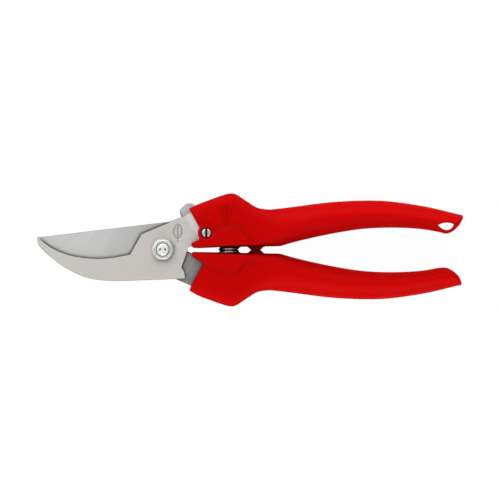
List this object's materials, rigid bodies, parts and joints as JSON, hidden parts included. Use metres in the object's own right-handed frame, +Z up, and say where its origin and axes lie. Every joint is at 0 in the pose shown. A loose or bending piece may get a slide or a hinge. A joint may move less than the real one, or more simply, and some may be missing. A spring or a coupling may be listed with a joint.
{
  "type": "bypass pruner",
  "caption": "Hand pruner with a curved cutting blade that passes a hooked counter-blade, moulded grips, a return spring and a thumb lock.",
  "frame": {"origin": "bottom centre of the tool's box: it lies flat on its back face with its jaws closed", "axes": "+X from the jaws to the handle ends, +Y towards the upper handle, +Z up towards the front face with the pivot nut"},
  "size_m": [0.1996, 0.053, 0.016],
  "materials": {
    "plate_steel": "satin, brushed lengthwise",
    "blade_steel": "ground, fine curved grinding marks",
    "red_plastic": "semi-gloss moulded plastic",
    "plated_steel": "bright plated fasteners",
    "spring_steel": "dark oil-hardened spring wire",
    "lever_steel": "pressed sheet steel, tumbled"
  },
  "bodies": {
    "counter_side": {"counter_blade": "plate_steel", "upper_handle": "red_plastic", "pivot_bolt": "plated_steel", "pivot_nut": "plated_steel", "pivot_washer": "plated_steel", "return_spring": "spring_steel", "lock_screw": "plated_steel", "lock_bush": "plated_steel", "lock_washer": "spring_steel"},
    "blade_side": {"cutting_blade": "blade_steel", "lower_handle": "red_plastic"},
    "lock": {"lock_lever": "lever_steel"}
  },
  "joints": [
    {"name": "jaw_hinge", "type": "hinge", "parent": "counter_side", "child": "blade_side", "pos_m": [-0.04108, 0.00015, 0.008], "axis": [0, 0, -1], "range_deg": [0, 24], "deforming": ["return_spring"]},
    {"name": "lock_hinge", "type": "hinge", "parent": "counter_side", "child": "lock", "pos_m": [-0.02067, 0.00795, 0.0068], "axis": [0, 0, -1], "range_deg": [0, 18]}
  ]
}
